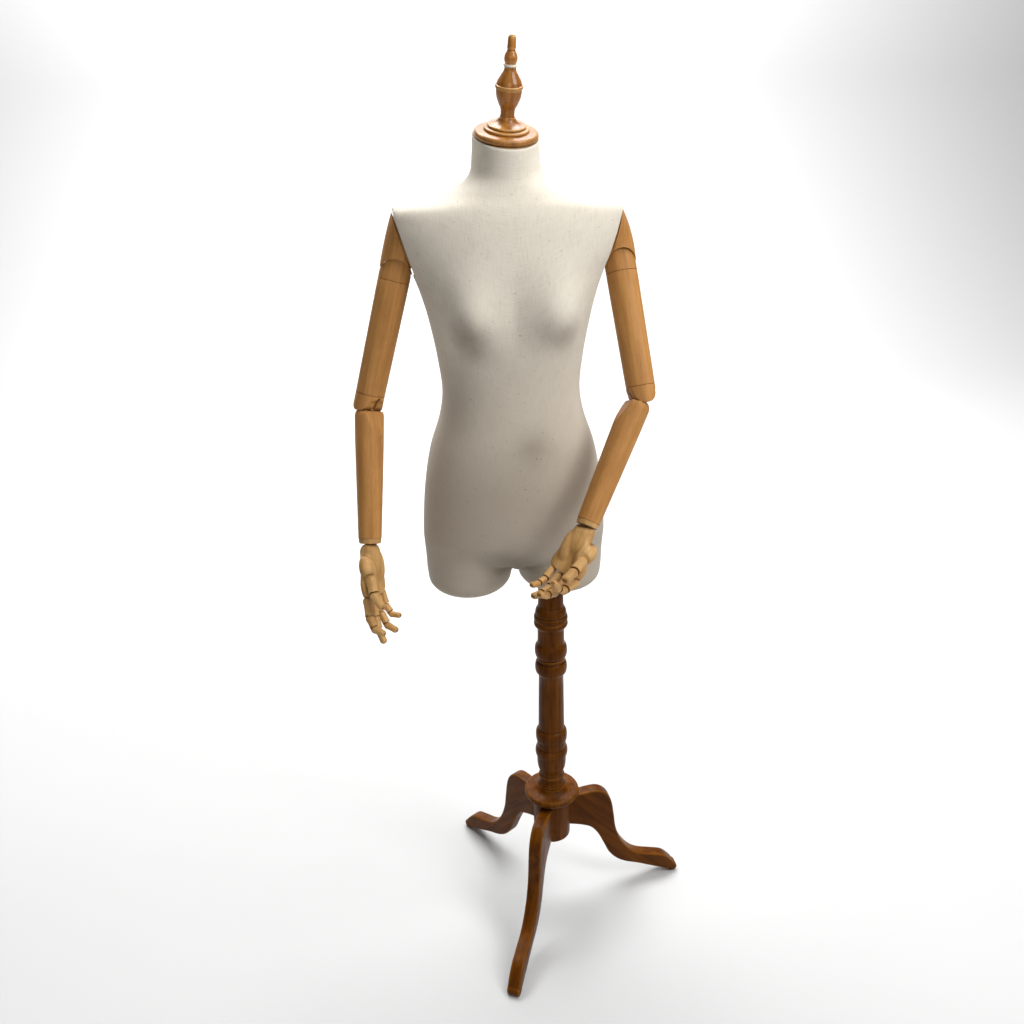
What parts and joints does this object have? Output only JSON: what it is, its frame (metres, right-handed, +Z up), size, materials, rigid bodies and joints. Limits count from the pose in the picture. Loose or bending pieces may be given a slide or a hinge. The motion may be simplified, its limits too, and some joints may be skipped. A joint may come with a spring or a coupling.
{
  "type": "dress form mannequin",
  "caption": "Dress form mannequin: linen-covered torso with jointed wooden arms and hands, turned neck finial, and a turned wooden column on a tripod base.",
  "frame": {"origin": "on the floor, under the middle of the whole object's bounding box", "axes": "+Z up, -Y the way the torso faces, +X towards the left arm of the form"},
  "size_m": [0.6562, 0.5316, 1.7559],
  "materials": {
    "linen": "matte",
    "form_board": "matte",
    "arm_wood": "satin",
    "hand_wood": "satin",
    "stand_wood": "satin",
    "cap_wood": "satin",
    "bone_white": "satin",
    "steel": "satin"
  },
  "bodies": {
    "stand": {"leg_1": "stand_wood", "leg_2": "stand_wood", "leg_3": "stand_wood", "leg_hub": "stand_wood", "hub_flange": "stand_wood", "column": "stand_wood", "tie_rod": "steel", "tie_rod_nut": "steel", "torso_spigot": "steel"},
    "torso": {"torso_socket": "steel", "torso_core": "form_board", "torso_cover": "linen", "neck_cap": "cap_wood", "finial_urn": "cap_wood", "finial_washer": "bone_white", "finial_tip": "cap_wood", "shoulder_plate_right": "arm_wood", "shoulder_plate_left": "arm_wood"},
    "right_shoulder_cap": {"shoulder_cap_right": "arm_wood"},
    "right_shoulder_knuckle": {"shoulder_knuckle_right": "arm_wood"},
    "right_upper_arm": {"upper_arm_right": "arm_wood"},
    "right_elbow_block": {"elbow_block_right": "arm_wood"},
    "right_forearm": {"forearm_right": "arm_wood"},
    "right_wrist_block": {"wrist_block_right": "arm_wood"},
    "right_palm": {"palm_right": "hand_wood"},
    "left_shoulder_cap": {"shoulder_cap_left": "arm_wood"},
    "left_shoulder_knuckle": {"shoulder_knuckle_left": "arm_wood"},
    "left_upper_arm": {"upper_arm_left": "arm_wood"},
    "left_elbow_block": {"elbow_block_left": "arm_wood"},
    "left_forearm": {"forearm_left": "arm_wood"},
    "left_wrist_block": {"wrist_block_left": "arm_wood"},
    "left_palm": {"palm_left": "hand_wood"},
    "right_index_1": {"right_index_1": "hand_wood"},
    "right_index_2": {"right_index_2": "hand_wood"},
    "right_index_3": {"right_index_3": "hand_wood"},
    "right_middle_1": {"right_middle_1": "hand_wood"},
    "right_middle_2": {"right_middle_2": "hand_wood"},
    "right_middle_3": {"right_middle_3": "hand_wood"},
    "right_ring_1": {"right_ring_1": "hand_wood"},
    "right_ring_2": {"right_ring_2": "hand_wood"},
    "right_ring_3": {"right_ring_3": "hand_wood"},
    "right_little_1": {"right_little_1": "hand_wood"},
    "right_little_2": {"right_little_2": "hand_wood"},
    "right_little_3": {"right_little_3": "hand_wood"},
    "right_thumb_1": {"right_thumb_1": "hand_wood"},
    "right_thumb_2": {"right_thumb_2": "hand_wood"},
    "left_index_1": {"left_index_1": "hand_wood"},
    "left_index_2": {"left_index_2": "hand_wood"},
    "left_index_3": {"left_index_3": "hand_wood"},
    "left_middle_1": {"left_middle_1": "hand_wood"},
    "left_middle_2": {"left_middle_2": "hand_wood"},
    "left_middle_3": {"left_middle_3": "hand_wood"},
    "left_ring_1": {"left_ring_1": "hand_wood"},
    "left_ring_2": {"left_ring_2": "hand_wood"},
    "left_ring_3": {"left_ring_3": "hand_wood"},
    "left_little_1": {"left_little_1": "hand_wood"},
    "left_little_2": {"left_little_2": "hand_wood"},
    "left_little_3": {"left_little_3": "hand_wood"},
    "left_thumb_1": {"left_thumb_1": "hand_wood"},
    "left_thumb_2": {"left_thumb_2": "hand_wood"}
  },
  "joints": [
    {"name": "torso_turn", "type": "hinge", "parent": "stand", "child": "torso", "pos_m": [0.02939, 0.01814, 0.8], "axis": [0, 0, 1], "continuous": true},
    {"name": "right_shoulder_turn", "type": "hinge", "parent": "torso", "child": "right_shoulder_cap", "pos_m": [-0.21451, 0.01314, 1.453], "axis": [-0.9617, 0, -0.2741], "range_deg": [-40, 90]},
    {"name": "right_shoulder_lift", "type": "hinge", "parent": "right_shoulder_cap", "child": "right_shoulder_knuckle", "pos_m": [-0.23461, 0.00914, 1.399], "axis": [0, 0.9954, -0.0956], "range_deg": [-5, 25]},
    {"name": "right_upper_arm_turn", "type": "hinge", "parent": "right_shoulder_knuckle", "child": "right_upper_arm", "pos_m": [-0.23461, 0.00914, 1.399], "axis": [-0.271, -0.092, -0.9582], "range_deg": [-45, 120]},
    {"name": "right_elbow_turn", "type": "hinge", "parent": "right_upper_arm", "child": "right_elbow_block", "pos_m": [-0.29316, -0.01074, 1.19204], "axis": [-0.271, -0.092, -0.9582], "range_deg": [-45, 120]},
    {"name": "right_elbow_bend", "type": "hinge", "parent": "right_elbow_block", "child": "right_forearm", "pos_m": [-0.29316, -0.01074, 1.19204], "axis": [-0.712, -0.6507, 0.2639], "range_deg": [-20, 50]},
    {"name": "right_wrist_turn", "type": "hinge", "parent": "right_forearm", "child": "right_wrist_block", "pos_m": [-0.30828, -0.09769, 0.93687], "axis": [-0.056, -0.322, -0.9451], "continuous": true},
    {"name": "right_wrist_bend", "type": "hinge", "parent": "right_wrist_block", "child": "right_palm", "pos_m": [-0.30828, -0.09769, 0.93687], "axis": [-0.4494, -0.8371, 0.3119], "range_deg": [-50, 60]},
    {"name": "left_shoulder_turn", "type": "hinge", "parent": "torso", "child": "left_shoulder_cap", "pos_m": [0.13328, 0.01314, 1.453], "axis": [-0.9617, 0, 0.2741], "range_deg": [-5, 90]},
    {"name": "left_shoulder_lift", "type": "hinge", "parent": "left_shoulder_cap", "child": "left_shoulder_knuckle", "pos_m": [0.15339, 0.00914, 1.399], "axis": [0, -0.9455, 0.3256], "range_deg": [-5, 25]},
    {"name": "left_upper_arm_turn", "type": "hinge", "parent": "left_shoulder_knuckle", "child": "left_upper_arm", "pos_m": [0.15339, 0.00914, 1.399], "axis": [-0.124, 0.3231, 0.9382], "range_deg": [-20, 120]},
    {"name": "left_elbow_turn", "type": "hinge", "parent": "left_upper_arm", "child": "left_elbow_block", "pos_m": [0.18018, -0.06065, 1.19635], "axis": [-0.124, 0.3231, 0.9382], "range_deg": [-20, 120]},
    {"name": "left_elbow_bend", "type": "hinge", "parent": "left_elbow_block", "child": "left_forearm", "pos_m": [0.18018, -0.06065, 1.19635], "axis": [-0.1489, 0.9288, -0.3395], "range_deg": [-31, 35]},
    {"name": "left_wrist_turn", "type": "hinge", "parent": "left_forearm", "child": "left_wrist_block", "pos_m": [0.06252, -0.1605, 0.97479], "axis": [0.4358, 0.3698, 0.8206], "continuous": true},
    {"name": "left_wrist_bend", "type": "hinge", "parent": "left_wrist_block", "child": "left_palm", "pos_m": [0.06252, -0.1605, 0.97479], "axis": [-0.7024, 0.7098, 0.0531], "range_deg": [-50, 60]},
    {"name": "right_index_knuckle", "type": "hinge", "parent": "right_palm", "child": "right_index_1", "pos_m": [-0.31552, -0.15061, 0.8671], "axis": [-0.4494, -0.8371, 0.3119], "range_deg": [-2, 38]},
    {"name": "right_index_middle_joint", "type": "hinge", "parent": "right_index_1", "child": "right_index_2", "pos_m": [-0.31295, -0.1626, 0.83862], "axis": [-0.4494, -0.8371, 0.3119], "range_deg": [-20, 40]},
    {"name": "right_index_end_joint", "type": "hinge", "parent": "right_index_2", "child": "right_index_3", "pos_m": [-0.30493, -0.17301, 0.82224], "axis": [-0.4494, -0.8371, 0.3119], "range_deg": [-42, 8]},
    {"name": "right_middle_knuckle", "type": "hinge", "parent": "right_palm", "child": "right_middle_1", "pos_m": [-0.30769, -0.13696, 0.85988], "axis": [-0.4494, -0.8371, 0.3119], "range_deg": [-4, 71]},
    {"name": "right_middle_middle_joint", "type": "hinge", "parent": "right_middle_1", "child": "right_middle_2", "pos_m": [-0.30393, -0.15016, 0.82987], "axis": [-0.4494, -0.8371, 0.3119], "range_deg": [-8, 62]},
    {"name": "right_middle_end_joint", "type": "hinge", "parent": "right_middle_2", "child": "right_middle_3", "pos_m": [-0.2985, -0.16046, 0.81003], "axis": [-0.4494, -0.8371, 0.3119], "range_deg": [-8, 42]},
    {"name": "right_ring_knuckle", "type": "hinge", "parent": "right_palm", "child": "right_ring_1", "pos_m": [-0.30012, -0.12144, 0.85729], "axis": [-0.4494, -0.8371, 0.3119], "range_deg": [-10, 65]},
    {"name": "right_ring_middle_joint", "type": "hinge", "parent": "right_ring_1", "child": "right_ring_2", "pos_m": [-0.29374, -0.13498, 0.83015], "axis": [-0.4494, -0.8371, 0.3119], "range_deg": [-16, 54]},
    {"name": "right_ring_end_joint", "type": "hinge", "parent": "right_ring_2", "child": "right_ring_3", "pos_m": [-0.28411, -0.14621, 0.81386], "axis": [-0.4494, -0.8371, 0.3119], "range_deg": [-34, 16]},
    {"name": "right_little_knuckle", "type": "hinge", "parent": "right_palm", "child": "right_little_1", "pos_m": [-0.29275, -0.10443, 0.85841], "axis": [-0.4494, -0.8371, 0.3119], "range_deg": [-14, 61]},
    {"name": "right_little_middle_joint", "type": "hinge", "parent": "right_little_1", "child": "right_little_2", "pos_m": [-0.28583, -0.11636, 0.83637], "axis": [-0.4494, -0.8371, 0.3119], "range_deg": [-20, 50]},
    {"name": "right_little_end_joint", "type": "hinge", "parent": "right_little_2", "child": "right_little_3", "pos_m": [-0.27663, -0.12542, 0.82532], "axis": [-0.4494, -0.8371, 0.3119], "range_deg": [-44, 6]},
    {"name": "right_thumb_base", "type": "hinge", "parent": "right_palm", "child": "right_thumb_1", "pos_m": [-0.30812, -0.14259, 0.90314], "axis": [-0.4515, -0.7597, 0.468], "range_deg": [-3, 40]},
    {"name": "right_thumb_end", "type": "hinge", "parent": "right_thumb_1", "child": "right_thumb_2", "pos_m": [-0.30152, -0.16068, 0.88014], "axis": [-0.4515, -0.7597, 0.468], "range_deg": [-22, 28]},
    {"name": "left_index_knuckle", "type": "hinge", "parent": "left_palm", "child": "left_index_1", "pos_m": [0.03897, -0.21532, 0.91028], "axis": [-0.7024, 0.7098, 0.0531], "range_deg": [-48, 2]},
    {"name": "left_index_middle_joint", "type": "hinge", "parent": "left_index_1", "child": "left_index_2", "pos_m": [0.01692, -0.23711, 0.90984], "axis": [-0.7024, 0.7098, 0.0531], "range_deg": [-34, 10]},
    {"name": "left_index_end_joint", "type": "hinge", "parent": "left_index_2", "child": "left_index_3", "pos_m": [0.00485, -0.2499, 0.92131], "axis": [-0.7024, 0.7098, 0.0531], "range_deg": [-18, 32]},
    {"name": "left_middle_knuckle", "type": "hinge", "parent": "left_palm", "child": "left_middle_1", "pos_m": [0.0259, -0.20398, 0.90969], "axis": [-0.7024, 0.7098, 0.0531], "range_deg": [-34, 41]},
    {"name": "left_middle_middle_joint", "type": "hinge", "parent": "left_middle_1", "child": "left_middle_2", "pos_m": [0.0029, -0.2261, 0.90126], "axis": [-0.7024, 0.7098, 0.0531], "range_deg": [-26, 44]},
    {"name": "left_middle_end_joint", "type": "hinge", "parent": "left_middle_2", "child": "left_middle_3", "pos_m": [-0.01297, -0.24214, 0.90571], "axis": [-0.7024, 0.7098, 0.0531], "range_deg": [-14, 36]},
    {"name": "left_ring_knuckle", "type": "hinge", "parent": "left_palm", "child": "left_ring_1", "pos_m": [0.0153, -0.19047, 0.91286], "axis": [-0.7024, 0.7098, 0.0531], "range_deg": [-26, 49]},
    {"name": "left_ring_middle_joint", "type": "hinge", "parent": "left_ring_1", "child": "left_ring_2", "pos_m": [-0.00546, -0.21011, 0.90085], "axis": [-0.7024, 0.7098, 0.0531], "range_deg": [-20, 50]},
    {"name": "left_ring_end_joint", "type": "hinge", "parent": "left_ring_2", "child": "left_ring_3", "pos_m": [-0.02112, -0.22553, 0.89977], "axis": [-0.7024, 0.7098, 0.0531], "range_deg": [-14, 36]},
    {"name": "left_little_knuckle", "type": "hinge", "parent": "left_palm", "child": "left_little_1", "pos_m": [0.00669, -0.17522, 0.91904], "axis": [-0.7024, 0.7098, 0.0531], "range_deg": [-26, 49]},
    {"name": "left_little_middle_joint", "type": "hinge", "parent": "left_little_1", "child": "left_little_2", "pos_m": [-0.01072, -0.19169, 0.90897], "axis": [-0.7024, 0.7098, 0.0531], "range_deg": [-20, 50]},
    {"name": "left_little_end_joint", "type": "hinge", "parent": "left_little_2", "child": "left_little_3", "pos_m": [-0.02282, -0.2036, 0.90813], "axis": [-0.7024, 0.7098, 0.0531], "range_deg": [-16, 34]},
    {"name": "left_thumb_base", "type": "hinge", "parent": "left_palm", "child": "left_thumb_1", "pos_m": [0.05206, -0.20662, 0.94451], "axis": [-0.7646, 0.6424, -0.052], "range_deg": [-3, 40]},
    {"name": "left_thumb_end", "type": "hinge", "parent": "left_thumb_1", "child": "left_thumb_2", "pos_m": [0.03371, -0.22908, 0.93684], "axis": [-0.7646, 0.6424, -0.052], "range_deg": [-8, 40]}
  ]
}
